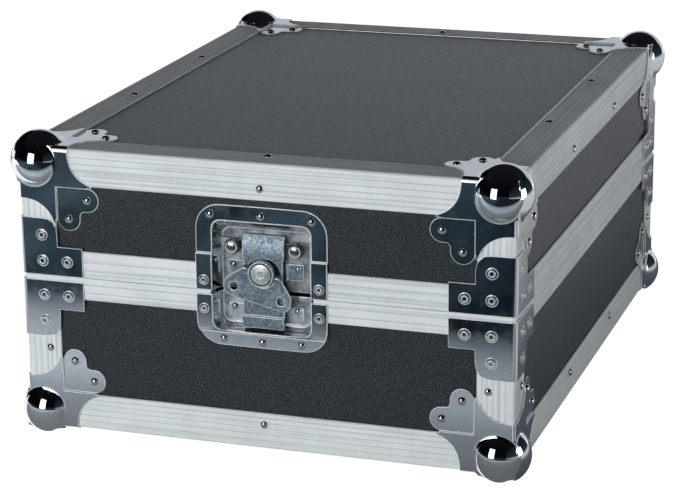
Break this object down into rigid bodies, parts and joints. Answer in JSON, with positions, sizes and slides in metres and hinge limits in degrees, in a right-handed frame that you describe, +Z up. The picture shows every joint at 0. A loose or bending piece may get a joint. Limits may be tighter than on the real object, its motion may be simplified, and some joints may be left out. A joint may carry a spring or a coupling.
{
  "type": "dj mixer flight case",
  "caption": "Hinged equipment case with laminate panels in grooved aluminium edges, ball corners, corner braces and a recessed butterfly latch that draws a sprung hook under a keeper",
  "frame": {"origin": "on the floor below the middle of the case's bounding box", "axes": "+Z up, +Y from the latch at the front to the hinges at the rear, +X to the right seen from the front"},
  "size_m": [0.425, 0.551, 0.254],
  "materials": {
    "laminate": "plywood faced with matt black laminate of a fine speckle",
    "extrusion": "satin anodised, with fine grooves along it",
    "chromed_plate": "bright chromed pressed steel",
    "zinc_plate": "bright zinc plate",
    "foam": "dark grey closed-cell foam"
  },
  "bodies": {
    "base": {"base_bottom_panel": "laminate", "base_front_panel": "laminate", "base_rear_panel": "laminate", "base_left_panel": "laminate", "base_right_panel": "laminate", "base_front_edge": "extrusion", "base_rear_edge": "extrusion", "base_left_edge": "extrusion", "base_right_edge": "extrusion", "base_post_front_left": "extrusion", "base_post_front_right": "extrusion", "base_post_rear_left": "extrusion", "base_post_rear_right": "extrusion", "base_rim_frame": "extrusion", "base_foam": "foam", "ball_corner_base_front_left": "chromed_plate", "ball_corner_base_front_right": "chromed_plate", "ball_corner_base_rear_left": "chromed_plate", "ball_corner_base_rear_right": "chromed_plate", "brace_base_front_left": "chromed_plate", "brace_base_front_right": "chromed_plate", "brace_base_rear_left": "chromed_plate", "brace_base_rear_right": "chromed_plate", "latch_base_dish": "chromed_plate", "latch_keeper": "zinc_plate", "hinge_base_leaf_left": "zinc_plate", "hinge_base_leaf_right": "zinc_plate"},
    "lid": {"lid_top_panel": "laminate", "lid_front_panel": "laminate", "lid_rear_panel": "laminate", "lid_left_panel": "laminate", "lid_right_panel": "laminate", "lid_front_edge": "extrusion", "lid_rear_edge": "extrusion", "lid_left_edge": "extrusion", "lid_right_edge": "extrusion", "lid_post_front_left": "extrusion", "lid_post_front_right": "extrusion", "lid_post_rear_left": "extrusion", "lid_post_rear_right": "extrusion", "lid_rim_frame": "extrusion", "lid_foam": "foam", "ball_corner_lid_front_left": "chromed_plate", "ball_corner_lid_front_right": "chromed_plate", "ball_corner_lid_rear_left": "chromed_plate", "ball_corner_lid_rear_right": "chromed_plate", "brace_lid_front_left": "chromed_plate", "brace_lid_front_right": "chromed_plate", "brace_lid_rear_left": "chromed_plate", "brace_lid_rear_right": "chromed_plate", "latch_lid_dish": "chromed_plate", "latch_spindle_bridge": "zinc_plate", "latch_spring_left": "zinc_plate", "latch_spring_right": "zinc_plate", "hinge_lid_leaf_left": "zinc_plate", "hinge_lid_leaf_right": "zinc_plate"},
    "latch_hook": {"latch_hook_plate": "zinc_plate"},
    "latch_spindle": {"latch_spindle": "zinc_plate"},
    "latch_butterfly": {"latch_butterfly": "zinc_plate"}
  },
  "joints": [
    {"name": "lid_hinge", "type": "hinge", "parent": "base", "child": "lid", "pos_m": [0, 0.2688, 0.1385], "axis": [-1, 0, 0], "range_deg": [0, 100]},
    {"name": "butterfly_turn", "type": "hinge", "parent": "lid", "child": "latch_spindle", "pos_m": [0, -0.265, 0.155], "axis": [0, 1, 0], "range_deg": [0, 180]},
    {"name": "butterfly_fold", "type": "hinge", "parent": "latch_spindle", "child": "latch_butterfly", "pos_m": [0, -0.2638, 0.155], "axis": [-0.9703, 0, 0.2419], "range_deg": [0, 90]},
    {"name": "hook_draw", "type": "slide", "parent": "lid", "child": "latch_hook", "axis": [0, 0.6644, 0.7474], "range_m": [0, 0.00482]}
  ],
  "couplings": [
    {"joint": "hook_draw", "follows": "butterfly_turn", "m_per_rad": 0.0015332}
  ]
}
